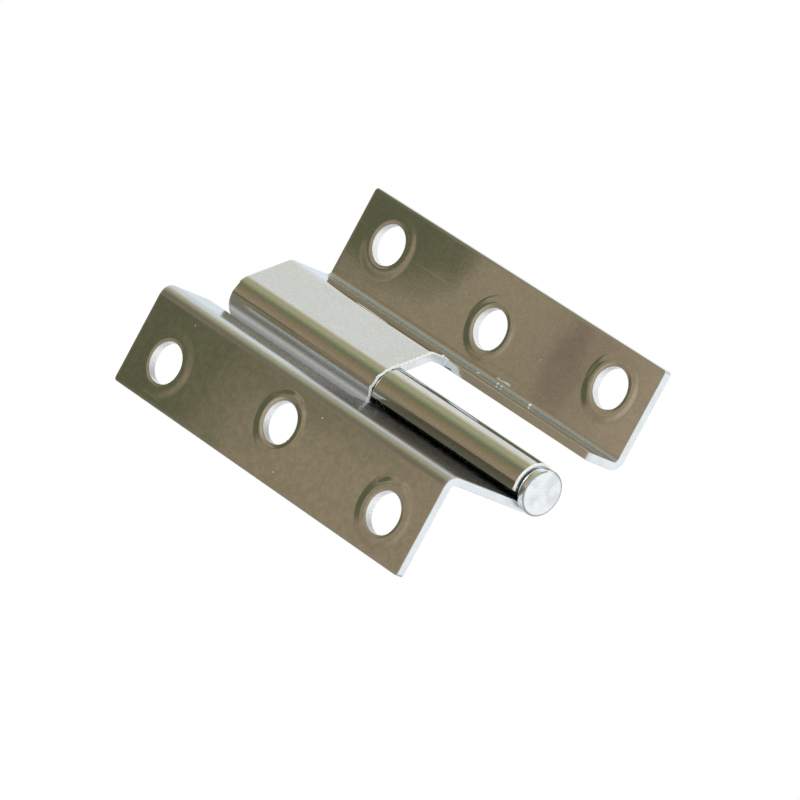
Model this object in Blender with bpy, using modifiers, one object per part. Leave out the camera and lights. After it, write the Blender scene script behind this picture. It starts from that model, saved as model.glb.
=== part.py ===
# Cranked lift-off hinge: two folded steel leaves and the pin that one of them lifts off.
# Units are metres. +Z runs up along the pin, away from its head. The origin is on the back of the pin
# leaf's flange, the face that is screwed on, half-way up and near the free edge. The flange runs to +Y
# from its bend, and its back looks to +X.
# Every piece is modelled about the pin's axis, with Z = 0 level with the ends of the leaves at the head.
# Seen so, the pin leaf lies towards -X and the socket leaf towards +X with its flange running to -Y.

import math

import bmesh
import bpy
from mathutils import Vector

COLLECTION = "lift_off_hinge"

# The sheet that both leaves are folded from
leaf_length = 0.050
sheet = 0.00095
bend_radius = 0.0005
flange_height = 0.012
flange_corner = 0.0004

# Clearance between pieces that fit together
gap = 0.0003

# The barrel, made of one knuckle on each leaf, curled round the pin
pin_radius = 0.00155
barrel_radius = pin_radius + gap + sheet
curl_sweep = math.radians(293.0)
pin_knuckle_length = 0.0245

# The origin's distance from the free edge of the pin leaf's flange
origin_from_edge = 0.002

# Pin leaf, from the pin's axis: to the flange's outer face, and to the edge that clears the other knuckle
pin_leaf_reach = 0.0124
pin_leaf_notch = 0.0052

# Socket leaf, from the pin's axis: to the flange's back, to the strip's upper face and to the edge that
# clears the other knuckle. A sloping panel climbs from the barrel to the strip.
socket_leaf_reach = 0.0105
strip_rise = 0.00575
socket_leaf_notch = 0.0050
panel_slope = math.radians(36.4)

# Screw holes, each with a rim rolled in by the punch. The middle hole lies further from the free edge.
hole_radius = 0.00236
hole_end_margin = 0.0058
end_hole_from_edge = 0.0047
middle_hole_from_edge = 0.0064
rim_width = 0.00045
rim_depth = 0.00012

# Pin, with a flat round head below the pin leaf's knuckle
pin_tip_inset = 0.0015
pin_tip_chamfer = 0.0004
head_radius = 0.00265
head_thickness = 0.0013
head_rounding = 0.00045
head_back_rounding = 0.0005

# How far a cutter reaches past what it cuts
cutter_margin = 0.001

# Facets
arc_step = math.radians(6.0)
round_sides = 48
corner_segments = 4
smooth_limit = math.radians(30.0)
merge_distance = 0.00001

nickel = (0.62, 0.60, 0.56)
worn_nickel = (0.70, 0.70, 0.69)


def clear_scene():
    for old in list(bpy.data.objects):
        bpy.data.objects.remove(old, do_unlink=True)


def new_collection(name):
    made = bpy.data.collections.new(name)
    bpy.context.scene.collection.children.link(made)
    return made


def metal(name, colour, roughness):
    made = bpy.data.materials.new(name)
    made.use_nodes = True
    shader = made.node_tree.nodes["Principled BSDF"]
    shader.inputs["Base Color"].default_value = (*colour, 1.0)
    shader.inputs["Roughness"].default_value = roughness
    shader.inputs["Metallic"].default_value = 1.0
    return made


def pin_axis_empty(collection):
    """The empty on the pin's axis that carries every piece and every cutter."""
    axis = bpy.data.objects.new("pin_axis", None)
    back_x = pin_leaf_reach - sheet
    origin_y = pin_flange_edge() - origin_from_edge
    axis.location = (back_x, -origin_y, -leaf_length / 2)
    collection.objects.link(axis)
    return axis


def link_mesh(name, bm, axis, collection):
    """Makes an object from a bmesh about the pin's axis, shaded smooth apart from its sharp edges."""
    mesh = bpy.data.meshes.new(name)
    bm.to_mesh(mesh)
    bm.free()
    mesh.shade_smooth()
    mesh.set_sharp_from_angle(angle=smooth_limit)
    made = bpy.data.objects.new(name, mesh)
    made.parent = axis
    collection.objects.link(made)
    return made


def arc(centre, radius, start, sweep):
    """Points along an arc in plan, both ends included."""
    steps = math.ceil(abs(sweep) / arc_step)
    angles = [start + sweep * i / steps for i in range(steps + 1)]
    return [centre + radius * Vector((math.cos(a), math.sin(a))) for a in angles]


def rounded(before, corner, after, radius):
    """Points along the arc that rounds one corner of an outline."""
    back = (before - corner).normalized()
    ahead = (after - corner).normalized()
    half_angle = back.angle(ahead) / 2
    setback = radius / math.tan(half_angle)
    centre = corner + (back + ahead).normalized() * radius / math.sin(half_angle)
    first = corner + back * setback - centre
    last = corner + ahead * setback - centre
    turn = first.angle_signed(last)
    return arc(centre, radius, math.atan2(first.y, first.x), -turn)


def pin_flange_edge():
    """Y of the free edge of the pin leaf's flange, measured from the pin's axis."""
    return barrel_radius - sheet + flange_height


def socket_flange_edge():
    """Y of the free edge of the socket leaf's flange, measured from the pin's axis."""
    return -(strip_rise - sheet + flange_height)


def pin_leaf_path():
    """The outer face of the pin leaf in plan, from its flange's free edge to the end of its curl."""
    flange_inner = -(pin_leaf_reach - sheet)
    free_edge = Vector((flange_inner, pin_flange_edge()))
    bend = Vector((flange_inner, barrel_radius))
    tangent = Vector((0.0, barrel_radius))
    curl = arc(Vector((0.0, 0.0)), barrel_radius, math.pi / 2, -curl_sweep)
    return [free_edge, *rounded(free_edge, bend, tangent, bend_radius), *curl]


def socket_leaf_path():
    """The outer face of the socket leaf in plan, from its flange's free edge to the end of its curl."""
    flange_inner = socket_leaf_reach - sheet
    free_edge = Vector((flange_inner, socket_flange_edge()))
    bend = Vector((flange_inner, -strip_rise))
    tangent_angle = -(math.pi / 2 + panel_slope)
    tangent = barrel_radius * Vector((math.cos(tangent_angle), math.sin(tangent_angle)))
    panel_length = (strip_rise + tangent.y) / math.sin(panel_slope)
    ridge = tangent + panel_length * Vector((math.cos(panel_slope), -math.sin(panel_slope)))
    curl = arc(Vector((0.0, 0.0)), barrel_radius, tangent_angle, -curl_sweep)
    return [
        free_edge,
        *rounded(free_edge, bend, ridge, bend_radius),
        *rounded(bend, ridge, tangent, bend_radius + sheet),
        *curl,
    ]


def folded_leaf(name, path, outward, axis, collection):
    """A sheet folded and curled along path. outward is the way its flange's first face looks."""
    bm = bmesh.new()
    row = [bm.verts.new((*point, 0.0)) for point in path]
    edges = [bm.edges.new(pair) for pair in zip(row, row[1:])]
    extruded = bmesh.ops.extrude_edge_only(bm, edges=edges)["geom"]
    top_row = [part for part in extruded if isinstance(part, bmesh.types.BMVert)]
    bmesh.ops.translate(bm, verts=top_row, vec=(0.0, 0.0, leaf_length))
    bm.normal_update()
    flange_face = min(bm.faces, key=lambda face: (face.calc_center_median().xy - path[0]).length)
    if flange_face.normal.dot(outward) < 0:
        bmesh.ops.reverse_faces(bm, faces=bm.faces)
    corners = [v for v in bm.verts if (v.co.xy - path[0]).length < merge_distance]
    bmesh.ops.bevel(
        bm,
        geom=corners,
        offset=flange_corner,
        offset_type="OFFSET",
        affect="VERTICES",
        segments=corner_segments,
        profile=0.5,
    )
    leaf = link_mesh(name, bm, axis, collection)
    shell = leaf.modifiers.new("sheet", "SOLIDIFY")
    shell.thickness = sheet
    shell.offset = -1.0
    shell.use_even_offset = True
    return leaf


def turned(name, profile, axis, collection):
    """A round solid from a profile of radius and height, listed down its outer side."""
    bm = bmesh.new()
    row = [bm.verts.new((radius, 0.0, height)) for radius, height in profile]
    for pair in zip(row, row[1:]):
        bm.edges.new(pair)
    made = link_mesh(name, bm, axis, collection)
    screw = made.modifiers.new("turn", "SCREW")
    screw.steps = round_sides
    screw.render_steps = round_sides
    screw.use_merge_vertices = True
    screw.merge_threshold = merge_distance
    weld = made.modifiers.new("poles", "WELD")
    weld.merge_threshold = merge_distance
    return made


def hide_cutter(cutter):
    cutter.hide_render = True
    cutter.display_type = "WIRE"


def cut(target, cutter):
    hide_cutter(cutter)
    boolean = target.modifiers.new("cut_" + cutter.name, "BOOLEAN")
    boolean.operation = "DIFFERENCE"
    boolean.solver = "EXACT"
    boolean.object = cutter


def box_cutter(name, low, high, axis, collection):
    bm = bmesh.new()
    bmesh.ops.create_cube(bm, size=1.0)
    size = [top - bottom for bottom, top in zip(low, high)]
    middle = [(top + bottom) / 2 for bottom, top in zip(low, high)]
    bmesh.ops.scale(bm, verts=bm.verts, vec=size)
    made = link_mesh(name, bm, axis, collection)
    made.location = middle
    return made


def drill_flange(leaf, face_x, free_edge_y, way_in, axis, collection):
    """Cuts three screw holes. way_in is the sign of Y from the free edge towards the bend."""
    heights = (hole_end_margin, leaf_length / 2, leaf_length - hole_end_margin)
    distances = (end_hole_from_edge, middle_hole_from_edge, end_hole_from_edge)
    profile = [
        (0.0, cutter_margin),
        (hole_radius + rim_width, cutter_margin),
        (hole_radius + rim_width, 0.0),
        (hole_radius, -rim_depth),
        (hole_radius, -sheet - cutter_margin),
        (0.0, -sheet - cutter_margin),
    ]
    for number, (height, distance) in enumerate(zip(heights, distances), start=1):
        drill = turned(f"{leaf.name}_hole_{number}", profile, axis, collection)
        drill.rotation_euler = (0.0, -math.pi / 2, 0.0)
        drill.location = (face_x, free_edge_y + way_in * distance, height)
        cut(leaf, drill)


def build_pin_leaf(axis, parts, cutters):
    leaf = folded_leaf("pin_leaf", pin_leaf_path(), Vector((1.0, 0.0, 0.0)), axis, parts)
    clear_of_barrel = barrel_radius + cutter_margin
    notch = box_cutter(
        "pin_leaf_notch",
        (-pin_leaf_notch, -clear_of_barrel, pin_knuckle_length),
        (clear_of_barrel, clear_of_barrel, leaf_length + cutter_margin),
        axis,
        cutters,
    )
    cut(leaf, notch)
    drill_flange(leaf, -pin_leaf_reach, pin_flange_edge(), -1, axis, cutters)
    return leaf


def build_socket_leaf(axis, parts, cutters):
    leaf = folded_leaf("socket_leaf", socket_leaf_path(), Vector((-1.0, 0.0, 0.0)), axis, parts)
    clear_of_barrel = barrel_radius + cutter_margin
    notch = box_cutter(
        "socket_leaf_notch",
        (-clear_of_barrel, -strip_rise - cutter_margin, -cutter_margin),
        (socket_leaf_notch, clear_of_barrel, pin_knuckle_length + gap),
        axis,
        cutters,
    )
    cut(leaf, notch)
    drill_flange(leaf, socket_leaf_reach - sheet, socket_flange_edge(), 1, axis, cutters)
    return leaf


def build_pin(axis, parts):
    top = leaf_length - pin_tip_inset
    head_back = -gap
    head_front = head_back - head_thickness
    profile = [
        (0.0, top),
        (pin_radius - pin_tip_chamfer, top),
        (pin_radius, top - pin_tip_chamfer),
        (pin_radius, head_back),
    ]
    back_centre = Vector((head_radius - head_back_rounding, head_back - head_back_rounding))
    front_centre = Vector((head_radius - head_rounding, head_front + head_rounding))
    profile.extend(tuple(point) for point in arc(back_centre, head_back_rounding, math.pi / 2, -math.pi / 2))
    profile.extend(tuple(point) for point in arc(front_centre, head_rounding, 0.0, -math.pi / 2))
    profile.append((0.0, head_front))
    return turned("hinge_pin", profile, axis, parts)


def build_hinge():
    clear_scene()
    parts = new_collection(COLLECTION)
    cutters = new_collection("cutters")
    axis = pin_axis_empty(parts)
    pin_leaf = build_pin_leaf(axis, parts, cutters)
    pin = build_pin(axis, parts)
    socket_leaf = build_socket_leaf(axis, parts, cutters)
    pin_leaf.data.materials.append(metal("pin_leaf_nickel", nickel, 0.14))
    socket_leaf.data.materials.append(metal("socket_leaf_nickel", nickel, 0.14))
    pin.data.materials.append(metal("pin_nickel", worn_nickel, 0.3))


build_hinge()
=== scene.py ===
import math

import bpy
from mathutils import Matrix, Vector, noise
from mathutils.geometry import delaunay_2d_cdt


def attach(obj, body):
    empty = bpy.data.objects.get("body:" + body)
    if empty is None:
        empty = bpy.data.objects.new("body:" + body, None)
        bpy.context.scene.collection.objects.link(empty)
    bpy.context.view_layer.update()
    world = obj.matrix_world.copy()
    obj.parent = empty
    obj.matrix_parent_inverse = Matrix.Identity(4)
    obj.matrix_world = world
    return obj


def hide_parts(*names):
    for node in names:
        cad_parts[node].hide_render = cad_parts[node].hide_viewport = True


# The lift-off hinge, dressed: two folded nickel-plated leaves and the pin. All lengths are in metres.
# The leaves are built as flat sheets with edges, holes and dishes, and then folded along a path in plan
# about the pin's axis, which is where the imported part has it.

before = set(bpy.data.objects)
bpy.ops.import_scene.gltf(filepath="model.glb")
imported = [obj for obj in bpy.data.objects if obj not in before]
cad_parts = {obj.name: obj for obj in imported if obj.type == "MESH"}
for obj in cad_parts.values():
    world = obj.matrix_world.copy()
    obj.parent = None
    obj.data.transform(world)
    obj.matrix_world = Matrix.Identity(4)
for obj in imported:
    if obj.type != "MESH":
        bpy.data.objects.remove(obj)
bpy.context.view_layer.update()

# Sizes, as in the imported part
LEAF = 0.050
SHEET = 0.00095
BEND = 0.0005
FLANGE = 0.012
CORNER = 0.0004
BARREL = 0.0028
CURL = math.radians(293.0)
KNUCKLE_END = 0.0245
GAP = 0.0003
PIN_LEAF_REACH = 0.0124
PIN_LEAF_NOTCH = 0.0052
SOCKET_LEAF_REACH = 0.0105
STRIP_RISE = 0.00575
SOCKET_LEAF_NOTCH = 0.0050
SLOPE = math.radians(36.4)
HOLE = 0.00236
HOLE_END = 0.0058
HOLE_NEAR = 0.0047
HOLE_FAR = 0.0064

AXIS = Vector((0.01145, -0.01185, -0.025))

# Finer sizes that only the scene has: the rounding of an edge on the face that the holes are punched from,
# outside a knuckle and on the back, the inset at which it starts, the reach of wear, and a closer gap
ROLL = 0.00010
KNUCKLE_ROLL = 0.00024
BURR = 0.00004
INSET = 0.00026
WEAR = 0.00045
VISUAL_GAP = 0.00012

# The torn burr: how far it reaches from its edge, how far up the notch's corner, and how finely it is cut up
BURR_REACH = 0.001
BURR_UP_CORNER = 0.00065
BURR_STEP = 0.00008

# The painted shade, a near-black darkening in the channel and under the curl, fades out along z over this
# length, but only past this distance into the first bend
SHADE_FADE_LENGTH = 0.008
SHADE_FADE_START = 0.0007

# How finely the meshes are cut up
ROUND_STEPS = 5
HOLE_SIDES = 120
RING_STEPS = 15
LENGTH_STEPS = 24
FLANGE_STEPS = 10
CORNER_STEPS = 6
ARC_DEGREES = 2.0
STRAIGHT_STEP = 0.001
LEAST_STEP = 2.5e-5
JOIN_INSET = 0.0002
WEAR_MIDDLE = 0.00035
PAST_RING = 0.0001
CLEAR_OF_EDGES = 0.0003
CLEAR_OF_HOLES = 0.0047

# Of a sheet's two faces, +1 or -1, the one that both curls have outside
CURL_OUTSIDE = -1

# The raised ring round each hole and its rolled-in rim: inner radius, outer radius and height of the ring,
# then width and depth of the rim, from the near end of the leaf to the far one
PIN_LEAF_RINGS = (
    (0.00310, 0.00420, 0.000028, 0.00045, 0.00003),
    (0.00295, 0.00380, 0.000018, 0.00060, 0.00010),
    (0.00300, 0.00420, 0.000007, 0.00045, 0.00004),
)
SOCKET_LEAF_RINGS = (
    (0.00300, 0.00410, 0.000040, 0.00050, 0.00005),
    (0.00285, 0.00380, 0.000034, 0.00050, 0.00006),
    (0.00305, 0.00420, 0.000007, 0.00050, 0.00004),
)


# The folded sheet

def heading_vector(angle):
    """Unit vector in plan at this angle from +X."""
    return Vector((math.cos(angle), math.sin(angle)))


class Path:
    """The middle line of a folded sheet in plan, made of straight runs and turns."""

    def __init__(self, start, heading, runs):
        self.pieces = []
        s = 0.0
        p = Vector(start)
        a = heading
        for run in runs:
            if run[0] == "straight":
                length, curve = run[1], 0.0
            else:
                length, curve = run[1] * abs(run[2]), math.copysign(1.0 / run[1], run[2])
            self.pieces.append((s, s + length, p.copy(), a, curve))
            p, a = self._along(p, a, curve, length)
            s += length
        self.length = s

    @staticmethod
    def _along(p, a, curve, d):
        """The point and heading at distance d past (p, a), on a run that turns by curve per metre."""
        if curve == 0.0:
            return p + heading_vector(a) * d, a
        turned = a + curve * d
        centre = p + heading_vector(a + math.pi / 2) / curve
        return centre - heading_vector(turned + math.pi / 2) / curve, turned

    def at(self, s):
        """Point on the middle line, unit vector along it, and unit vector to its right."""
        for first, last, p, a, curve in self.pieces:
            if s <= last + 1e-9:
                break
        p, a = self._along(p, a, curve, s - first)
        along = heading_vector(a)
        return p, along, Vector((along.y, -along.x))

    def stations(self, arc_degrees, straight_step):
        """Distances along the line that follow its turns closely."""
        found = [0.0]
        for first, last, _, _, curve in self.pieces:
            length = last - first
            if curve:
                steps = max(2, math.ceil(math.degrees(length * abs(curve)) / arc_degrees))
            else:
                steps = max(1, math.ceil(length / straight_step))
            found += [first + length * i / steps for i in range(1, steps + 1)]
        return found


class Sheet:
    """A sheet with rounded edges, holes and dishes, folded along a path.

    In the flat, s runs along the path and z along the pin. side +1 is the face to the path's right.
    With flip, z is measured down from the far end of the leaf. holes lists each hole's place and its ring,
    and dish_side is the face that has the rings. The haze levels along the path say how dull the plate is,
    together with a painted blue-grey sheen in its colour; the shade levels say how dark the painted shade is.
    The painted shade fades from its given top height, and the flange's mottle level sets its olive and pink
    mottling, partly tarnish and partly painted reflection. burr_zone says where the edge is torn: from and to
    along the path, which end of the knuckle, and how high."""

    def __init__(self, path, holes, dish_side, flip, haze_and_sheen, painted_shade, painted_shade_top, tarnish_and_reflection, burr_zone):
        self.path = path
        self.holes = holes
        self.dish_side = dish_side
        self.rolls = {dish_side: ROLL, -dish_side: BURR}
        self.flip = flip
        self.haze_and_sheen_stops = haze_and_sheen
        self.painted_shade_stops = painted_shade
        self.painted_shade_top = painted_shade_top
        self.tarnish_and_reflection = tarnish_and_reflection
        self.burr_zone = burr_zone
        self.verts = []
        self.normals = []
        self.marks = {name: [] for name in ("edge", "haze_and_sheen", "painted_shade", "burr", "punched", "flange")}
        self.faces = []
        self.cut_faces = set()
        self.index = {}

    def depth(self, s, z):
        """How far the face lies below the flat here, and the slope of that along s and z."""
        for hs, hz, (inner, outer, height, rim_width, rim_depth) in self.holes:
            away = Vector((s - hs, z - hz))
            r = away.length
            if r >= outer:
                continue
            away /= max(r, 1e-9)
            x = min(1.0, (outer - r) / (outer - inner))
            value = -height * x * x * (3 - 2 * x)
            slope = height * 6 * x * (1 - x) / (outer - inner)
            rim = HOLE + rim_width
            if r < rim:
                y = min(1.0, (rim - r) / rim_width)
                value += rim_depth * y * y
                slope -= rim_depth * 2 * y / rim_width
            return value, away * slope
        return 0.0, Vector((0.0, 0.0))

    @staticmethod
    def level(stops, s):
        """The value at this distance along the path, from a list of (distance, value)."""
        for (s0, v0), (s1, v1) in zip(stops, stops[1:]):
            if s0 <= s <= s1:
                return v0 + (v1 - v0) * (s - s0) / (s1 - s0)
        return 0.0

    def vertex(self, s, z, side, height, up, out, edge, burr=0.0, punched=0.0):
        """height is measured from the middle of the sheet towards side; up and out make the normal."""
        key = (round(s * 1e8), round(z * 1e8), round(side * height * 1e8))
        if key in self.index:
            return self.index[key]
        p, along, right = self.path.at(s)
        place = p + right * (side * height)
        real_z = LEAF - z if self.flip else z
        flip = -1.0 if self.flip else 1.0
        flat = along * out[0] + right * (side * up)
        normal = Vector((flat.x, flat.y, flip * out[1])).normalized()
        self.verts.append(Vector((place.x, place.y, real_z)) + AXIS)
        self.normals.append(normal)
        front = 1.0 if side == self.dish_side else 0.0
        fade = min(1.0, max(0.0, (real_z - self.painted_shade_top) / SHADE_FADE_LENGTH))
        if s < self.path.pieces[1][0] + SHADE_FADE_START:
            fade = 0.0
        self.marks["edge"].append(edge)
        self.marks["haze_and_sheen"].append(self.level(self.haze_and_sheen_stops, s) * front)
        self.marks["painted_shade"].append(self.level(self.painted_shade_stops, s) * (1.0 - fade) * front)
        self.marks["burr"].append(burr)
        self.marks["punched"].append(punched)
        self.marks["flange"].append(self.tarnish_and_reflection if s <= self.path.pieces[1][0] else 0.0)
        self.index[key] = len(self.verts) - 1
        return self.index[key]

    def face_vertex(self, s, z, side, edge):
        """A vertex on one of the two faces; edge says how worn it is."""
        if side == self.dish_side:
            depth, slope = self.depth(s, z)
            return self.vertex(s, z, side, SHEET / 2 - depth, 1.0, (slope.x, slope.y), edge)
        return self.vertex(s, z, side, SHEET / 2, 1.0, (0.0, 0.0), edge)

    def add(self, corners, outward, cut=False):
        """A face given anticlockwise in the flat as seen from side +1; outward is +1 or -1."""
        reverse = (outward < 0) != self.flip
        distinct = list(dict.fromkeys(corners))
        if len(distinct) < 3:
            return
        self.faces.append(tuple(reversed(distinct)) if reverse else tuple(distinct))
        if cut:
            self.cut_faces.add(len(self.faces) - 1)

    def wall(self, loop):
        """The edge of the sheet along a loop of (s, z, out vector, kind) at the inset from the outline.

        A knuckle's edge has a wider rounding outside. An edge of kind side is plated, the others are bare."""
        profiles = []
        kinds = []
        for s, z, out, kind in loop:
            here = []
            out_unit = out.normalized()
            kinds.append(kind)
            for side in (1, -1):
                roll = self.rolls[side]
                if kind == "knuckle" and side == CURL_OUTSIDE:
                    roll = KNUCKLE_ROLL
                top = SHEET / 2
                if side == self.dish_side:
                    top -= self.depth(s, z)[0]
                half = []
                torn = side == CURL_OUTSIDE and kind in ("knuckle", "corner") and self.in_burr_zone(s, z)
                lump = self.burr(s, z) if torn else 0.0
                for i in range(ROUND_STEPS + 1):
                    a = math.pi / 2 * i / ROUND_STEPS
                    inset = roll * (1 - math.sin(a))
                    height = top - roll * (1 - math.cos(a)) + lump * math.cos(a / 2)
                    move = out * (INSET - inset)
                    half.append(
                        self.vertex(
                            s + move.x, z + move.y, side, height, math.cos(a),
                            out_unit * math.sin(a), 1.0, 1.0 if torn else 0.0,
                            1.0 if kind == "hole" else 0.0,
                        )
                    )
                here.append([self.face_vertex(s, z, side, 0.9)] + half)
            profiles.append(here[0] + here[1][::-1])
        count = len(profiles)
        for i in range(count):
            a = profiles[i]
            b = profiles[(i + 1) % count]
            bare = kinds[i] != "side" and kinds[(i + 1) % count] != "side"
            for j in range(len(a) - 1):
                on_wall = ROUND_STEPS - 1 < j < len(a) - 1 - ROUND_STEPS
                self.add((a[j], a[j + 1], b[j + 1], b[j]), 1, bare and on_wall)

    def in_burr_zone(self, s, z):
        """Whether the edge is torn here."""
        first, last, end, _ = self.burr_zone
        return first < s < last and abs(z - end) < BURR_REACH

    def burr(self, s, z):
        """Height of the lumpy burr that the shears left along an edge here."""
        coarse = noise.noise(Vector((s * 2400.0, z * 2400.0, 0.7)))
        fine = noise.noise(Vector((s * 6200.0, z * 6200.0, 2.3)))
        return max(0.0, coarse + 0.5 * fine + 0.15) * self.burr_zone[3]

    def make_object(self, name):
        """The mesh object, with the plate on it and the cut metal on its bare edges."""
        mesh = bpy.data.meshes.new(name)
        mesh.from_pydata([tuple(v) for v in self.verts], [], self.faces)
        mesh.materials.append(PLATE)
        mesh.materials.append(CUT_EDGE)
        mesh.polygons.foreach_set("use_smooth", [True] * len(mesh.polygons))
        mesh.polygons.foreach_set(
            "material_index", [1 if i in self.cut_faces else 0 for i in range(len(self.faces))]
        )
        for attribute, values in self.marks.items():
            layer = mesh.attributes.new(attribute, "FLOAT", "POINT")
            layer.data.foreach_set("value", values)
        mesh.update()
        mesh.normals_split_custom_set_from_vertices([tuple(n) for n in self.normals])
        made = bpy.data.objects.new(name, mesh)
        bpy.context.scene.collection.objects.link(made)
        return made


def between(values, low, high):
    """The values inside the range, without its ends."""
    return [v for v in values if low + 1e-7 < v < high - 1e-7]


class Leaf(Sheet):
    """A leaf: a full-length flange and web, and a knuckle that spans z from 0 to knuckle.

    The flange is flat and cut into triangles round its holes. The rest is a grid of z_all by s_all. Both stop
    at the inset from the outline, where the rounded edges take over."""

    def __init__(self, path, notch_s, knuckle, rings, **settings):
        heights = (HOLE_END, LEAF / 2, LEAF - HOLE_END)
        ringed = list(zip((HOLE_NEAR, HOLE_FAR, HOLE_NEAR), heights, rings))
        super().__init__(path, ringed, **settings)
        self.centres = [Vector((s, z)) for s, z, _ in ringed]
        self.notch_s = notch_s
        self.knuckle = knuckle
        self.end_s = path.length
        self.join_s = path.pieces[0][1] - JOIN_INSET
        self.z_all = self.cuts_along_pin()
        self.s_all = self.cuts_along_path()
        self.z_low, self.z_high = self.z_all[0], self.z_all[-1]
        self.z_knuckle = round(knuckle - INSET, 9)
        self.s_notch = round(notch_s - INSET, 9)
        self.s_end = round(self.end_s - INSET, 9)
        radius = CORNER - INSET
        turn = [math.pi / 2 * i / CORNER_STEPS for i in range(CORNER_STEPS + 1)]
        self.low_corner = [
            Vector((CORNER - radius * math.sin(a), CORNER - radius * math.cos(a))) for a in turn
        ]
        self.high_corner = [
            Vector((CORNER - radius * math.cos(a), LEAF - CORNER + radius * math.sin(a))) for a in turn
        ]
        self.left_z = between(self.z_all, CORNER, LEAF - CORNER)
        self.flat_s = [self.join_s * i / FLANGE_STEPS for i in range(1, FLANGE_STEPS)]
        self.add_folded_part()
        self.add_flange()
        self.add_outer_edge()
        self.add_hole_edges()

    def cuts_along_pin(self):
        """Values of z at which the grid is cut, closer together above the knuckle's end."""
        found = [INSET, WEAR, LEAF - WEAR, LEAF - INSET]
        found += [LEAF * i / LENGTH_STEPS for i in range(1, LENGTH_STEPS)]
        found += [self.knuckle - INSET, self.knuckle - WEAR, self.knuckle - 2 * WEAR]
        found += [self.knuckle + 0.0001 * k for k in range(1, 8)]
        found = sorted(set(round(z, 9) for z in found))
        return [z for i, z in enumerate(found) if i == 0 or z - found[i - 1] > 1e-5]

    def cuts_along_path(self):
        """Values of s at which the grid is cut: its own borders, the path's turns and the burr's lumps."""
        borders = [
            self.join_s, self.notch_s - INSET, self.notch_s - WEAR, self.end_s - INSET, self.end_s - WEAR
        ]
        first, last = self.burr_zone[:2]
        lumps = math.ceil((last - first) / BURR_STEP)
        cuts = [first + (last - first) * i / lumps for i in range(lumps + 1)]
        found = between(self.path.stations(ARC_DEGREES, STRAIGHT_STEP), self.join_s, self.end_s - INSET)
        found += borders + between(cuts, self.notch_s - INSET, self.end_s - WEAR)
        keep = {round(s, 9) for s in borders}
        kept = []
        for s in sorted(set(round(s, 9) for s in found)):
            if not kept or s - kept[-1] >= LEAST_STEP:
                kept.append(s)
            elif s in keep:
                kept[-1] = s
        return kept

    def wear(self, s, z):
        """How worn the face is, from 1 at an edge or a hole down to 0."""
        reach = [s, z, LEAF - z, self.end_s - s]
        if s > self.notch_s:
            reach.append(self.knuckle - z)
        if z > self.knuckle:
            reach.append(self.notch_s - s)
        if s < self.notch_s and z < self.knuckle:
            reach.append(math.hypot(self.notch_s - s, self.knuckle - z))
        for centre in self.centres:
            reach.append(math.hypot(s - centre.x, z - centre.y) - HOLE)
        return max(0.0, 1.0 - max(0.0, min(reach) - INSET) / (WEAR - INSET))

    def add_folded_part(self):
        """Both faces of the web and the knuckle."""
        for s0, s1 in zip(self.s_all, self.s_all[1:]):
            for z0, z1 in zip(self.z_all, self.z_all[1:]):
                if s0 > self.s_notch - 1e-7 and z0 > self.z_knuckle - 1e-7:
                    continue
                for side in (1, -1):
                    corners = [
                        self.face_vertex(s, z, side, self.wear(s, z))
                        for s, z in ((s0, z0), (s1, z0), (s1, z1), (s0, z1))
                    ]
                    self.add(corners, side)

    def flange_lines(self):
        """The points of the flange, and the lines between them that its triangles have to keep to."""
        points = []
        lines = []

        def chain(run, closed):
            first = len(points)
            points.extend(run)
            lines.extend((first + k, first + k + 1) for k in range(len(run) - 1))
            if closed:
                lines.append((first + len(run) - 1, first))

        outline = [Vector((self.join_s, z)) for z in self.z_all]
        outline += [Vector((s, self.z_high)) for s in reversed(self.flat_s)]
        outline += reversed(self.high_corner)
        outline += [Vector((INSET, z)) for z in reversed(self.left_z)]
        outline += reversed(self.low_corner)
        outline += [Vector((s, self.z_low)) for s in self.flat_s]
        chain(outline, True)
        worn = [Vector((s, WEAR)) for s in reversed(self.flat_s) if s > WEAR]
        worn += [Vector((WEAR, z)) for z in self.z_all if WEAR - 1e-7 < z < LEAF - WEAR + 1e-7]
        worn += [Vector((s, LEAF - WEAR)) for s in self.flat_s if s > WEAR]
        chain(worn, False)
        for hs, hz, ring in self.holes:
            step = (ring[1] + PAST_RING - HOLE - WEAR) / RING_STEPS
            radii = [HOLE + INSET, HOLE + WEAR_MIDDLE]
            radii += [HOLE + WEAR + step * k for k in range(RING_STEPS + 1)]
            for r in radii:
                chain(
                    [
                        Vector((hs + r * math.cos(a), hz + r * math.sin(a)))
                        for a in (2 * math.pi * k / HOLE_SIDES for k in range(HOLE_SIDES))
                    ],
                    True,
                )
        grid = [Vector((s, z)) for s in self.flat_s for z in self.left_z]
        points.extend(
            p for p in grid
            if WEAR + CLEAR_OF_EDGES < p.x < self.join_s - CLEAR_OF_EDGES
            and WEAR + CLEAR_OF_EDGES < p.y < LEAF - WEAR - CLEAR_OF_EDGES
            and all((p - centre).length > CLEAR_OF_HOLES for centre in self.centres)
        )
        return points, lines

    def add_flange(self):
        """Both faces of the flat flange, round its holes."""
        points, lines = self.flange_lines()
        flat, _, triangles, *_ = delaunay_2d_cdt(points, lines, [], 0, 1e-9)
        for triangle in triangles:
            middle = sum((flat[k] for k in triangle), Vector((0.0, 0.0))) / len(triangle)
            if any((middle - centre).length < HOLE + INSET - 2e-6 for centre in self.centres):
                continue
            for side in (1, -1):
                corners = [
                    self.face_vertex(flat[k].x, flat[k].y, side, self.wear(flat[k].x, flat[k].y))
                    for k in triangle
                ]
                self.add(corners, side)

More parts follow.
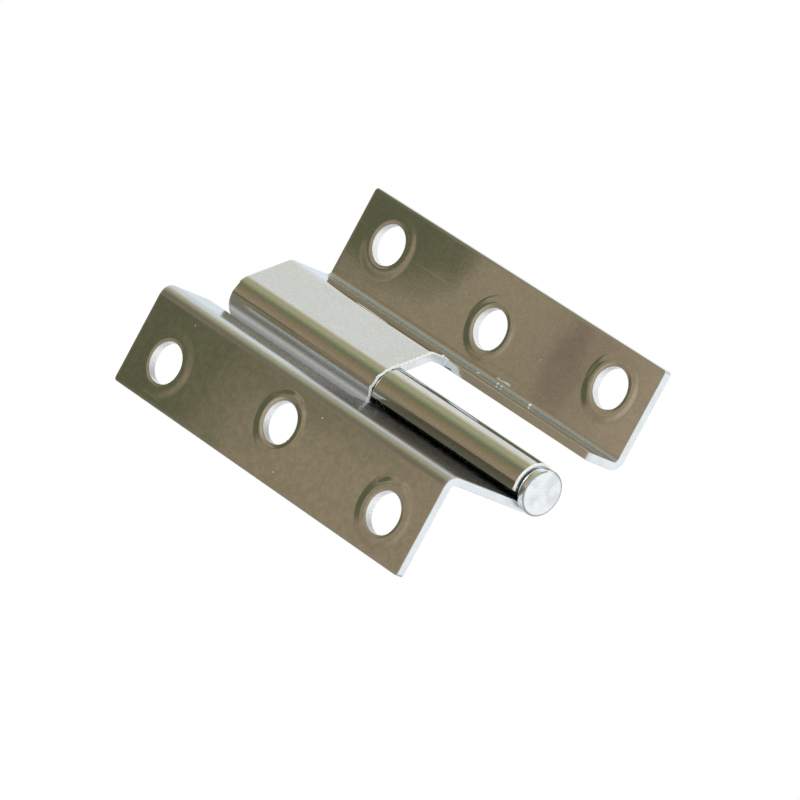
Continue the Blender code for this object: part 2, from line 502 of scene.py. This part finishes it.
    def add_outer_edge(self):
        """The edge all round the leaf, notch and knuckle included."""
        right, left = Vector((1.0, 0.0)), Vector((-1.0, 0.0))
        up, down = Vector((0.0, 1.0)), Vector((0.0, -1.0))
        curl_s = self.path.pieces[-1][0] + 0.001
        loop = []
        for p in reversed(self.low_corner):
            out = (p - Vector((CORNER, CORNER))).normalized()
            loop.append((p.x, p.y, out, "end"))
        loop += [(s, self.z_low, down, "end") for s in self.flat_s]
        loop += [(s, self.z_low, down, "knuckle" if s > curl_s else "end") for s in self.s_all[:-1]]
        loop.append((self.s_end, self.z_low, right + down, "knuckle"))
        loop += [(self.s_end, z, right, "side") for z in between(self.z_all, self.z_low, self.z_knuckle)]
        loop.append((self.s_end, self.z_knuckle, right + up, "knuckle"))
        on_knuckle = between(self.s_all, self.s_notch, self.s_end)
        loop += [(s, self.z_knuckle, up, "knuckle") for s in reversed(on_knuckle)]
        loop.append((self.s_notch, self.z_knuckle, right + up, "corner"))
        loop += [
            (self.s_notch, z, right, "corner" if z < self.knuckle + BURR_UP_CORNER else "side")
            for z in between(self.z_all, self.z_knuckle, self.z_high)
        ]
        loop.append((self.s_notch, self.z_high, right + up, "side"))
        on_web = [s for s in self.s_all if s < self.s_notch - 1e-7]
        loop += [(s, self.z_high, up, "end") for s in reversed(on_web)]
        loop += [(s, self.z_high, up, "end") for s in reversed(self.flat_s)]
        for p in reversed(self.high_corner):
            out = (p - Vector((CORNER, LEAF - CORNER))).normalized()
            loop.append((p.x, p.y, out, "end"))
        loop += [(INSET, z, left, "side") for z in reversed(self.left_z)]
        self.wall(loop)

    def add_hole_edges(self):
        """The wall of each hole."""
        for centre in self.centres:
            ring = []
            for k in range(HOLE_SIDES):
                a = -2 * math.pi * k / HOLE_SIDES
                direction = Vector((math.cos(a), math.sin(a)))
                place = centre + (HOLE + INSET) * direction
                ring.append((place.x, place.y, -direction, "hole"))
            self.wall(ring)


# Materials

class Graph:
    """A node material, with short calls for the nodes it needs."""

    def __init__(self, name):
        self.material = bpy.data.materials.new(name)
        self.material.use_nodes = True
        self.tree = self.material.node_tree
        self.shader = self.tree.nodes["Principled BSDF"]
        self.place = self.node("ShaderNodeTexCoord").outputs["Object"]

    def node(self, kind, **settings):
        made = self.tree.nodes.new(kind)
        for name, value in settings.items():
            setattr(made, name, value)
        return made

    def put(self, socket, value):
        if isinstance(value, bpy.types.NodeSocket):
            self.tree.links.new(value, socket)
        else:
            socket.default_value = value

    def noise(self, scale, detail=2.0, stretch=(1.0, 1.0, 1.0), turn=(0.0, 0.0, 0.0), offset=0.0):
        mapping = self.node("ShaderNodeMapping")
        self.put(mapping.inputs["Vector"], self.place)
        mapping.inputs["Location"].default_value = (offset, offset, offset)
        mapping.inputs["Rotation"].default_value = turn
        mapping.inputs["Scale"].default_value = [scale * v for v in stretch]
        made = self.node("ShaderNodeTexNoise")
        made.inputs["Scale"].default_value = 1.0
        made.inputs["Detail"].default_value = detail
        self.put(made.inputs["Vector"], mapping.outputs["Vector"])
        return made.outputs["Fac"]

    def specks(self, scale, size, share):
        """Sparse small round spots, 1 inside and 0 outside."""
        made = self.node("ShaderNodeTexVoronoi")
        made.inputs["Scale"].default_value = scale
        self.put(made.inputs["Vector"], self.place)
        spot = self.range(made.outputs["Distance"], size, size * 0.6, 0.0, 1.0)
        split = self.node("ShaderNodeSeparateColor")
        self.put(split.inputs["Color"], made.outputs["Color"])
        chosen = self.math("LESS_THAN", split.outputs["Red"], share)
        return self.math("MULTIPLY", spot, chosen)

    def spot(self, centre, radius):
        """1 within a small ball about the centre and 0 outside, with a soft edge."""
        made = self.node("ShaderNodeVectorMath", operation="DISTANCE")
        self.put(made.inputs[0], self.place)
        made.inputs[1].default_value = centre
        return self.range(made.outputs["Value"], radius, radius * 0.5, 0.0, 1.0)

    def range(self, value, low, high, to_low, to_high):
        made = self.node("ShaderNodeMapRange", interpolation_type="SMOOTHSTEP")
        self.put(made.inputs["Value"], value)
        for name, number in (("From Min", low), ("From Max", high), ("To Min", to_low), ("To Max", to_high)):
            made.inputs[name].default_value = number
        return made.outputs["Result"]

    def math(self, operation, a, b):
        made = self.node("ShaderNodeMath", operation=operation)
        self.put(made.inputs[0], a)
        self.put(made.inputs[1], b)
        return made.outputs[0]

    def mix(self, factor, a, b):
        made = self.node("ShaderNodeMix", data_type="RGBA")
        self.put(made.inputs["Factor"], factor)
        for name, value in (("A", a), ("B", b)):
            socket = next(i for i in made.inputs if i.name == name and i.type == "RGBA")
            self.put(socket, value if isinstance(value, bpy.types.NodeSocket) else (*value, 1.0))
        return next(o for o in made.outputs if o.type == "RGBA")

    def bump(self, height, distance, normal=None):
        made = self.node("ShaderNodeBump")
        made.inputs["Strength"].default_value = 1.0
        made.inputs["Distance"].default_value = distance
        self.put(made.inputs["Height"], height)
        if normal is not None:
            self.put(made.inputs["Normal"], normal)
        return made.outputs["Normal"]

    def attribute(self, name):
        return self.node("ShaderNodeAttribute", attribute_name=name).outputs["Fac"]


# Small chips in the plate that show as white flecks: centre and radius
CHIPS = (
    (0.02085, -0.01775, -0.01045, 0.00024),
    (0.02060, -0.01762, -0.00185, 0.00022),
    (0.02085, -0.01775, -0.00490, 0.00016),
    (0.02085, -0.01775, -0.00560, 0.00014),
    (0.02100, -0.02243, -0.00863, 0.00007),
    (0.01830, -0.01760, -0.01700, 0.00007),
    (0.01490, -0.01760, -0.02490, 0.00016),
    (-0.00095, -0.00734, -0.00514, 0.00009),
    (-0.00095, -0.00789, 0.01788, 0.00007),
    (-0.00095, 0.00039, -0.00251, 0.00008),
)


def nickel_plate(name):
    """Polished plate, duller in its bends with a painted blue-grey sheen there: stains, a fine grain, faint
    scratches, specks and worn edges, olive and pink flange mottling that is partly tarnish and partly painted
    reflection, near-black painted shade in the channel and under the curls, and torn burrs painted white and
    matt as a highlight.
    """
    g = Graph(name)
    stain = g.range(g.noise(160, 4.0), 0.42, 0.66, 0.0, 1.0)
    grain = g.noise(3200, 2.0)
    fine = g.range(grain, 0.35, 0.65, 0.0, 1.0)
    cloud = g.range(g.noise(90, 3.0, offset=7.0), 0.40, 0.70, 0.0, 1.0)
    dull_and_sheen = g.attribute("haze_and_sheen")
    streak = g.range(g.noise(1.0, 2.0, stretch=(2400.0, 2400.0, 60.0)), 0.35, 0.65, 0.0, 1.0)
    scratch = g.range(
        g.noise(1.0, 1.0, stretch=(2600.0, 2600.0, 45.0), turn=(0.5, 0.35, 0.2)), 0.70, 0.76, 0.0, 1.0
    )
    specks = g.specks(260, 0.030, 0.16)
    for x, y, z, radius in CHIPS:
        specks = g.math("MAXIMUM", specks, g.spot((x, y, z), radius))
    edge = g.attribute("edge")
    colour = g.mix(g.math("MULTIPLY", stain, 0.45), (0.640, 0.655, 0.650), (0.600, 0.594, 0.555))
    colour = g.mix(g.math("MULTIPLY", fine, 0.35), colour, (0.51, 0.515, 0.500))
    pinkish = g.range(g.noise(4200, 1.0, offset=11.0), 0.45, 0.60, 0.0, 0.36)
    greenish = g.range(g.noise(3500, 1.0, offset=17.0), 0.45, 0.60, 0.0, 0.34)
    lighter = g.range(g.noise(3000, 2.0, offset=23.0), 0.50, 0.62, 0.0, 0.34)
    colour = g.mix(pinkish, colour, (0.720, 0.570, 0.590))
    colour = g.mix(greenish, colour, (0.540, 0.660, 0.480))
    colour = g.mix(lighter, colour, (0.760, 0.740, 0.700))
    # Olive and pink mottling on the flanges: partly tarnish, partly painted reflection of the surroundings
    flange = g.attribute("flange")
    olive_tarnish_and_reflection = g.range(g.noise(1000, 4.0, offset=31.0), 0.40, 0.60, 0.0, 0.46)
    colour = g.mix(g.math("MULTIPLY", olive_tarnish_and_reflection, flange), colour, (0.52, 0.56, 0.46))
    pink_tarnish_and_reflection = g.range(g.noise(1300, 4.0, offset=37.0), 0.46, 0.60, 0.0, 0.42)
    colour = g.mix(g.math("MULTIPLY", pink_tarnish_and_reflection, flange), colour, (0.79, 0.72, 0.71))
    # Painted sheen: a blue-grey tint in the duller bends, standing in for the pale sky they reflect
    colour = g.mix(g.range(dull_and_sheen, 0.75, 1.0, 0.05, 0.8), colour, (0.51, 0.57, 0.63))
    # Painted shade: near black and faintly streaked, in the channel and under the curls where shade falls
    # between the parts
    dim = g.math("MULTIPLY", g.attribute("painted_shade"), g.math("ADD", g.math("MULTIPLY", streak, 0.14), 0.86))
    colour = g.mix(dim, colour, (0.060, 0.054, 0.061))
    colour = g.mix(g.math("MULTIPLY", edge, 0.30), colour, (0.74, 0.755, 0.76))
    colour = g.mix(specks, colour, (0.95, 0.95, 0.93))
    # Painted highlight: the torn burr is painted white and made matt so that it reads bright; its lumps are
    # real bumps
    burr = g.attribute("burr")
    crumb = g.noise(5200, 2.0)
    torn = g.math("MULTIPLY", burr, g.range(crumb, 0.38, 0.46, 0.80, 1.0))
    colour = g.mix(torn, colour, (1.0, 1.0, 0.98))
    g.put(g.shader.inputs["Base Color"], colour)
    rough = g.math("MULTIPLY", cloud, 0.015)
    rough = g.math("ADD", rough, g.math("MULTIPLY", fine, 0.015))
    rough = g.math("ADD", rough, g.math("MULTIPLY", scratch, 0.08))
    rough = g.math("ADD", rough, g.math("MULTIPLY", edge, 0.04))
    rough = g.math("ADD", rough, g.math("MULTIPLY", dull_and_sheen, 0.30))
    rough = g.math("ADD", rough, g.range(dull_and_sheen, 0.87, 0.90, 0.0, 0.15))
    rough = g.math("ADD", rough, g.math("MULTIPLY", specks, 0.45))
    rough = g.math("ADD", rough, g.math("MULTIPLY", burr, 0.20))
    rough = g.math("ADD", rough, 0.03)
    g.put(g.shader.inputs["Roughness"], rough)
    # The painted shade, the specks and the painted-white burr are partly or wholly matt
    matt = g.math("ADD", g.math("MULTIPLY", dim, 0.20), g.math("MULTIPLY", specks, 0.7))
    matt = g.math("ADD", matt, g.math("MULTIPLY", torn, 1.0))
    matt = g.math("ADD", matt, g.math("MULTIPLY", dull_and_sheen, 0.04))
    g.put(g.shader.inputs["Metallic"], g.math("SUBTRACT", 1.0, matt))
    normal = g.bump(g.noise(120, 1.0, offset=3.0), 0.000010)
    normal = g.bump(grain, 0.0000004, normal)
    normal = g.bump(scratch, 0.0000010, normal)
    normal = g.bump(g.math("MULTIPLY", crumb, burr), 0.00008, normal)
    g.put(g.shader.inputs["Normal"], normal)
    return g.material


def sheared_edge(name):
    """The cut edge of the sheet: brighter and rougher than the plate, torn and striped across, but smoother
    and paler in the punched holes."""
    g = Graph(name)
    punched = g.attribute("punched")
    g.put(g.shader.inputs["Metallic"], g.math("SUBTRACT", 1.0, g.math("MULTIPLY", punched, 0.5)))
    tear = g.noise(2600, 3.0)
    broad = g.noise(500, 2.0)
    colour = g.mix(g.range(tear, 0.40, 0.66, 0.0, 0.25), (0.82, 0.87, 0.91), (0.66, 0.70, 0.74))
    colour = g.mix(punched, colour, (0.92, 0.935, 0.95))
    g.put(g.shader.inputs["Base Color"], colour)
    rough = g.math("ADD", g.range(broad, 0.35, 0.65, 0.22, 0.38), g.math("MULTIPLY", punched, 0.15))
    g.put(g.shader.inputs["Roughness"], rough)
    normal = g.bump(tear, 0.0000015)
    torn = g.math("SUBTRACT", 1.0, g.math("MULTIPLY", punched, 0.75))
    normal = g.bump(g.math("MULTIPLY", broad, torn), 0.000006, normal)
    g.put(g.shader.inputs["Normal"], normal)
    return g.material


def worn_nickel(name):
    """The pin: duller nickel, mottled and lightly pitted."""
    g = Graph(name)
    g.shader.inputs["Metallic"].default_value = 1.0
    cloud = g.noise(700, 5.0)
    pits = g.noise(5200, 2.0)
    colour = g.mix(g.range(cloud, 0.36, 0.68, 0.0, 1.0), (0.87, 0.91, 0.935), (0.77, 0.80, 0.82))
    colour = g.mix(g.range(pits, 0.56, 0.72, 0.0, 0.6), colour, (0.62, 0.64, 0.66))
    g.put(g.shader.inputs["Base Color"], colour)
    g.put(g.shader.inputs["Roughness"], g.range(cloud, 0.35, 0.65, 0.18, 0.30))
    normal = g.bump(cloud, 0.000018)
    normal = g.bump(pits, 0.000003, normal)
    g.put(g.shader.inputs["Normal"], normal)
    return g.material


PLATE = nickel_plate("nickel_plate")
CUT_EDGE = sheared_edge("cut_edge")
PIN_NICKEL = worn_nickel("pin_nickel")


# The two leaves

half = SHEET / 2
pin_path = Path(
    (-(PIN_LEAF_REACH - half), BARREL - SHEET + FLANGE),
    -math.pi / 2,
    [
        ("straight", FLANGE - SHEET - BEND),
        ("turn", BEND + half, math.pi / 2),
        ("straight", PIN_LEAF_REACH - SHEET - BEND),
        ("turn", BARREL - half, -CURL),
    ],
)
ridge_radius = BEND + half
setback = (BEND + SHEET) * math.tan(SLOPE / 2)
tangent = BARREL * Vector((-math.sin(SLOPE), -math.cos(SLOPE)))
panel = (STRIP_RISE + tangent.y) / math.sin(SLOPE)
ridge_x = tangent.x + panel * math.cos(SLOPE)
strip = SOCKET_LEAF_REACH - SHEET - BEND - ridge_x - setback
socket_path = Path(
    (SOCKET_LEAF_REACH - half, -(STRIP_RISE - SHEET + FLANGE)),
    math.pi / 2,
    [
        ("straight", FLANGE - SHEET - BEND),
        ("turn", BEND + half, math.pi / 2),
        ("straight", strip),
        ("turn", ridge_radius, -SLOPE),
        ("straight", panel - setback),
        ("turn", BARREL - half, -CURL),
    ],
)
pin_notch_s = pin_path.pieces[2][0] + (PIN_LEAF_REACH - SHEET - BEND - PIN_LEAF_NOTCH)
socket_notch_s = socket_path.pieces[2][0] + (SOCKET_LEAF_REACH - SHEET - BEND - SOCKET_LEAF_NOTCH)
SOCKET_KNUCKLE = LEAF - KNUCKLE_END - VISUAL_GAP


def stops(path, entries):
    """Levels along the path, from (piece, distance from its start, value); flat before and after them."""
    placed = [(path.pieces[piece][0] + offset, value) for piece, offset, value in entries]
    return [(-0.001, placed[0][1])] + placed + [(path.length + 0.001, placed[-1][1])]


# How dull the plate is along each leaf, with a painted blue-grey sheen in its bends, and how dark the painted
# shade is in the pin leaf's channel and under the curl
PIN_LEAF_HAZE_AND_SHEEN = stops(
    pin_path,
    [
        (1, 0.00015, 0.0), (1, 0.0006, 0.8), (1, 0.0010, 0.87), (2, 0.0, 0.87), (2, 0.0006, 0.5),
        (3, 0.0006, 0.5), (3, 0.0042, 0.0),
    ],
)
PIN_LEAF_SHADE = stops(
    pin_path,
    [
        (1, 0.0, 0.0), (1, 0.00007, 0.50), (1, 0.0003, 0.38), (1, 0.0005, 0.0), (1, 0.0010, 0.20),
        (1, 0.0013, 0.88), (2, 0.0, 0.93), (2, 0.0010, 0.97), (2, 0.0036, 0.97), (2, 0.0050, 0.80),
        (2, 0.0066, 0.50), (2, 0.0085, 0.45), (3, 0.0, 0.75), (3, 0.0006, 0.72), (3, 0.0042, 0.0),
    ],
)
SOCKET_LEAF_HAZE_AND_SHEEN = stops(
    socket_path,
    [
        (1, 0.0, 0.0), (1, 0.0003, 0.9), (2, 0.0, 0.9), (2, 0.0005, 0.25), (3, 0.0, 0.2), (4, 0.0, 0.0),
        (5, 0.0022, 0.0), (5, 0.0027, 0.7),
    ],
)
SOCKET_LEAF_SHADE = stops(socket_path, [(5, 0.0026, 0.0), (5, 0.0032, 0.37)])

pin_leaf = Leaf(
    pin_path,
    pin_notch_s,
    KNUCKLE_END,
    PIN_LEAF_RINGS,
    dish_side=1,
    flip=False,
    haze_and_sheen=PIN_LEAF_HAZE_AND_SHEEN,
    painted_shade=PIN_LEAF_SHADE,
    painted_shade_top=KNUCKLE_END - 0.003,
    tarnish_and_reflection=1.0,
    burr_zone=(pin_path.pieces[-1][0] + 0.004, pin_path.length, 0.0, 0.00007),
).make_object("pin_leaf_sheet")
socket_leaf = Leaf(
    socket_path,
    socket_notch_s,
    SOCKET_KNUCKLE,
    SOCKET_LEAF_RINGS[::-1],
    dish_side=-1,
    flip=True,
    haze_and_sheen=SOCKET_LEAF_HAZE_AND_SHEEN,
    painted_shade=SOCKET_LEAF_SHADE,
    painted_shade_top=LEAF,
    tarnish_and_reflection=0.5,
    burr_zone=(socket_notch_s - 0.0003, socket_path.pieces[-1][0] + 0.0047, SOCKET_KNUCKLE, 0.00026),
).make_object("socket_leaf_sheet")
for piece, node in ((pin_leaf, "pin_leaf"), (socket_leaf, "socket_leaf")):
    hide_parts(node)
    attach(piece, node)

# The pin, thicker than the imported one, so that the gap round it looks as close as it really is

PIN = 0.00172
HEAD = 0.00265
HEAD_THICK = 0.0013
HEAD_ROUND = 0.00045
HEAD_BACK_ROUND = 0.00055
NECK = 0.0002
NECK_HEIGHT = 0.00005
TIP = LEAF - 0.0015
TIP_CHAMFER = 0.0004
PIN_SIDES = 96
HEAD_STEPS = 9


def turned(name, profile):
    """A round piece about the pin's axis, from (radius, height) points."""
    verts = []
    faces = []
    rows = []
    for radius, height in profile:
        if radius < 1e-7:
            verts.append((AXIS.x, AXIS.y, AXIS.z + height))
            rows.append([len(verts) - 1] * PIN_SIDES)
            continue
        row = []
        for k in range(PIN_SIDES):
            a = 2 * math.pi * k / PIN_SIDES
            verts.append((AXIS.x + radius * math.cos(a), AXIS.y + radius * math.sin(a), AXIS.z + height))
            row.append(len(verts) - 1)
        rows.append(row)
    for low, high in zip(rows, rows[1:]):
        for k in range(PIN_SIDES):
            n = (k + 1) % PIN_SIDES
            corners = list(dict.fromkeys((low[k], low[n], high[n], high[k])))
            if len(corners) > 2:
                faces.append(tuple(corners))
    mesh = bpy.data.meshes.new(name)
    mesh.from_pydata(verts, [], faces)
    mesh.materials.append(PIN_NICKEL)
    mesh.polygons.foreach_set("use_smooth", [True] * len(mesh.polygons))
    mesh.update()
    made = bpy.data.objects.new(name, mesh)
    bpy.context.scene.collection.objects.link(made)
    return made


def rounding(radius, height, size, start, end):
    """Profile points of a quarter round about (radius, height)."""
    return [
        (radius + size * math.cos(a), height + size * math.sin(a))
        for a in (start + (end - start) * i / HEAD_STEPS for i in range(HEAD_STEPS + 1))
    ]


front = -GAP - HEAD_THICK
profile = [(0.0, front)]
profile += [(r * (HEAD - HEAD_ROUND) / 8, front) for r in range(1, 8)]
profile += rounding(HEAD - HEAD_ROUND, front + HEAD_ROUND, HEAD_ROUND, -math.pi / 2, 0.0)
profile += rounding(
    HEAD - HEAD_BACK_ROUND, -VISUAL_GAP - HEAD_BACK_ROUND, HEAD_BACK_ROUND, 0.0, math.pi / 2
)
profile += [(PIN + NECK, -VISUAL_GAP), (PIN, -VISUAL_GAP + NECK_HEIGHT)]
profile += [(PIN, z * 0.001) for z in range(1, 48)]
profile += [(PIN, TIP - TIP_CHAMFER), (PIN - TIP_CHAMFER, TIP), (0.0, TIP)]
pin = turned("pin_turned", profile)
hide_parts("hinge_pin")
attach(pin, "pin")

# Camera, fitted to the photograph

CAMERA_PLACE = (-0.518615, -0.086739, -0.494935)
CAMERA_AWAY = (-0.72850557, -0.10307926, -0.67724021)
CAMERA_UP = (-0.25622338, -0.87585782, 0.40892867)
SENSOR = 36.0
FOCAL_WIDTHS = 6826.39 / 800.0

away = Vector(CAMERA_AWAY).normalized()
upward = Vector(CAMERA_UP)
upward = (upward - away * upward.dot(away)).normalized()
across = upward.cross(away)
camera_data = bpy.data.cameras.new("camera")
camera_data.sensor_width = SENSOR
camera_data.lens = FOCAL_WIDTHS * SENSOR
camera_data.clip_start = 0.01
camera_data.clip_end = 50.0
camera = bpy.data.objects.new("camera", camera_data)
turn = Matrix((across, upward, away)).transposed().to_4x4()
camera.matrix_world = Matrix.Translation(CAMERA_PLACE) @ turn
bpy.context.scene.collection.objects.link(camera)
bpy.context.scene.camera = camera

# Floor, surroundings and light

def stage_mesh(name, verts, faces, material):
    """A plain mesh that isn't part of the hinge."""
    mesh = bpy.data.meshes.new(name)
    mesh.from_pydata(verts, [], faces)
    mesh.materials.append(material)
    made = bpy.data.objects.new(name, mesh)
    bpy.context.scene.collection.objects.link(made)
    return made


# The part stands with its pin upright, and the photograph's camera looks up at it from below, so the floor
# lies below that camera.
FLOOR_Z = -1.2
FLOOR_HALF = 12.0
g = Graph("pale_floor")
g.shader.inputs["Base Color"].default_value = (0.98, 0.98, 0.98, 1.0)
g.shader.inputs["Roughness"].default_value = 0.9
stage_mesh(
    "floor",
    [(x * FLOOR_HALF, y * FLOOR_HALF, FLOOR_Z) for x, y in ((-1, -1), (1, -1), (1, 1), (-1, 1))],
    [(0, 1, 2, 3)],
    g.material,
)

SCREEN_RADIUS = 1.5
SCREEN_LOW = -0.9
SCREEN_HIGH = 4.0
SCREEN_STEPS = 60


def curved_screen(name, first, last, material):
    """Part of an upright cylinder round the part, between two angles from +X.

    It only shows as reflections. Its turn attribute runs from 0 to 1 between the two angles."""
    verts = []
    values = []
    for i in range(SCREEN_STEPS + 1):
        a = math.radians(first + (last - first) * i / SCREEN_STEPS)
        for z in (SCREEN_LOW, SCREEN_HIGH):
            verts.append((SCREEN_RADIUS * math.cos(a), SCREEN_RADIUS * math.sin(a), z))
            values.append(i / SCREEN_STEPS)
    faces = [(2 * i, 2 * i + 1, 2 * i + 3, 2 * i + 2) for i in range(SCREEN_STEPS)]
    made = stage_mesh(name, verts, faces, material)
    layer = made.data.attributes.new("turn", "FLOAT", "POINT")
    layer.data.foreach_set("value", values)
    made.visible_camera = False
    made.visible_shadow = False
    made.visible_diffuse = False


def glowing(g, colour):
    """Makes the graph's material glow in this colour, with no gloss of its own."""
    glow = g.node("ShaderNodeEmission")
    g.put(glow.inputs["Color"], colour)
    g.tree.nodes.remove(g.shader)
    out = next(n for n in g.tree.nodes if n.type == "OUTPUT_MATERIAL")
    g.tree.links.new(glow.outputs[0], out.inputs["Surface"])


def low_tones(g, height, colour):
    """Grey surroundings low down, which views from above mirror, under the given colour."""
    low = g.mix(g.range(height, 0.10, -0.75, 0.0, 1.0), (0.34, 0.33, 0.315), (0.66, 0.65, 0.635))
    return g.mix(g.range(height, 0.85, 0.30, 0.0, 1.0), colour, low)


# The olive and brown surroundings that the polished metal mirrors, by angle round the part
SCREEN_STOPS = [
    (40, (0.40, 0.41, 0.42)),
    (60, (0.46, 0.47, 0.47)),
    (80, (0.62, 0.63, 0.64)),
    (94, (0.95, 0.97, 0.98)),
    (104, (1.00, 1.00, 1.00)),
    (113, (0.50, 0.48, 0.45)),
    (122, (0.25, 0.24, 0.20)),
    (150, (0.27, 0.25, 0.19)),
    (163, (0.30, 0.245, 0.17)),
    (169, (0.37, 0.30, 0.205)),
    (175, (0.395, 0.325, 0.225)),
    (189, (0.39, 0.305, 0.20)),
    (201, (0.345, 0.27, 0.17)),
    (214, (0.28, 0.25, 0.145)),
    (225, (0.23, 0.245, 0.14)),
    (237, (0.36, 0.375, 0.245)),
    (249, (0.53, 0.51, 0.30)),
    (261, (0.54, 0.49, 0.30)),
    (271, (0.70, 0.67, 0.55)),
    (280, (0.95, 0.97, 0.96)),
    (290, (1.0, 1.0, 1.0)),
]
SCREEN_FIRST, SCREEN_LAST = SCREEN_STOPS[0][0], SCREEN_STOPS[-1][0]

# Soft patches in those surroundings: centre and half size by (y, z), softness of the border, strength,
# colour, and a power that is 2 for an oval and more for a rounded rectangle
OLIVE = (0.148, 0.152, 0.088)
PATCHES = (
    ((0.122, 1.520), (0.047, 0.104), 0.06, 1.00, OLIVE, 4.0),
    ((0.250, 1.580), (0.080, 0.136), 0.28, 1.00, OLIVE, 2.0),
    ((0.205, 1.448), (0.022, 0.110), 0.50, 0.60, OLIVE, 2.0),
    ((0.150, 1.340), (0.030, 0.009), 0.70, 1.00, (0.24, 0.18, 0.14), 2.0),
    ((0.155, 1.285), (0.040, 0.025), 0.60, 0.80, (0.50, 0.395, 0.29), 2.0),
)


def share(angle):
    """Where this angle lies on the screen, from 0 to 1."""
    return (angle - SCREEN_FIRST) / (SCREEN_LAST - SCREEN_FIRST)


def surroundings():
    """The screen's material: tones by angle, darker above and paler below in the browns, with the patches."""
    g = Graph("screen")
    around = g.attribute("turn")
    ramp = g.node("ShaderNodeValToRGB")
    while len(ramp.color_ramp.elements) < len(SCREEN_STOPS):
        ramp.color_ramp.elements.new(0.5)
    for element, (angle, tone) in zip(ramp.color_ramp.elements, SCREEN_STOPS):
        element.position = share(angle)
        element.color = (*tone, 1.0)
    g.put(ramp.inputs["Fac"], around)
    split = g.node("ShaderNodeSeparateXYZ")
    g.put(split.inputs["Vector"], g.place)
    side, height = split.outputs["Y"], split.outputs["Z"]
    brown = g.math(
        "MULTIPLY",
        g.range(around, share(92), share(130), 0.0, 1.0),
        g.range(around, share(262), share(228), 0.0, 1.0),
    )
    wander = g.noise(2.2, 3.0)
    shifted = g.math("ADD", height, g.math("MULTIPLY", g.math("SUBTRACT", wander, 0.5), 0.25))
    dark_above = g.math("MULTIPLY", g.range(shifted, 1.56, 1.72, 0.0, 0.85), brown)
    pale_below = g.math("MULTIPLY", g.range(shifted, 1.24, 1.02, 0.0, 0.75), brown)
    colour = g.mix(dark_above, ramp.outputs["Color"], (0.11, 0.12, 0.06))
    colour = g.mix(pale_below, colour, (0.66, 0.57, 0.44))
    colour = low_tones(g, height, colour)
    for centre, size, soft, strength, patch_colour, power in PATCHES:
        dy = g.math("ABSOLUTE", g.math("DIVIDE", g.math("SUBTRACT", side, centre[0]), size[0]), 0.0)
        dz = g.math("ABSOLUTE", g.math("DIVIDE", g.math("SUBTRACT", height, centre[1]), size[1]), 0.0)
        total = g.math("ADD", g.math("POWER", dy, power), g.math("POWER", dz, power))
        inside = g.range(g.math("POWER", total, 1.0 / power), 1.0 + soft, 1.0 - soft, 0.0, strength)
        behind = g.math("LESS_THAN", split.outputs["X"], 0.0)
        colour = g.mix(g.math("MULTIPLY", inside, behind), colour, patch_colour)
    glowing(g, colour)
    return g.material


curved_screen("screen", SCREEN_FIRST, SCREEN_LAST, surroundings())

# Cool light from the side that faces the part's webs
g = Graph("cool_screen")
split = g.node("ShaderNodeSeparateXYZ")
g.put(split.inputs["Vector"], g.place)
glowing(g, low_tones(g, split.outputs["Z"], (0.84, 0.93, 1.0)))
curved_screen("cool_screen", -40, 40, g.material)

world = bpy.data.worlds.new("world")
bpy.context.scene.world = world
world.use_nodes = True
background = world.node_tree.nodes["Background"]
background.inputs["Color"].default_value = (1.0, 1.0, 1.0, 1.0)
background.inputs["Strength"].default_value = 1.0


def soft_lamp(name, angle, elevation, distance, size, power):
    """A round soft lamp aimed at the part."""
    data = bpy.data.lights.new(name, "AREA")
    data.shape = "DISK"
    data.size = size
    data.energy = power
    made = bpy.data.objects.new(name, data)
    a, e = math.radians(angle), math.radians(elevation)
    aim = Vector((math.cos(a) * math.cos(e), math.sin(a) * math.cos(e), math.sin(e)))
    made.location = aim * distance
    made.rotation_mode = "QUATERNION"
    made.rotation_quaternion = aim.to_track_quat("Z", "Y")
    bpy.context.scene.collection.objects.link(made)
    made.visible_camera = False


soft_lamp("key", 215.0, 74.0, 1.3, 0.5, 2.0)

bpy.context.scene.view_settings.view_transform = "Standard"
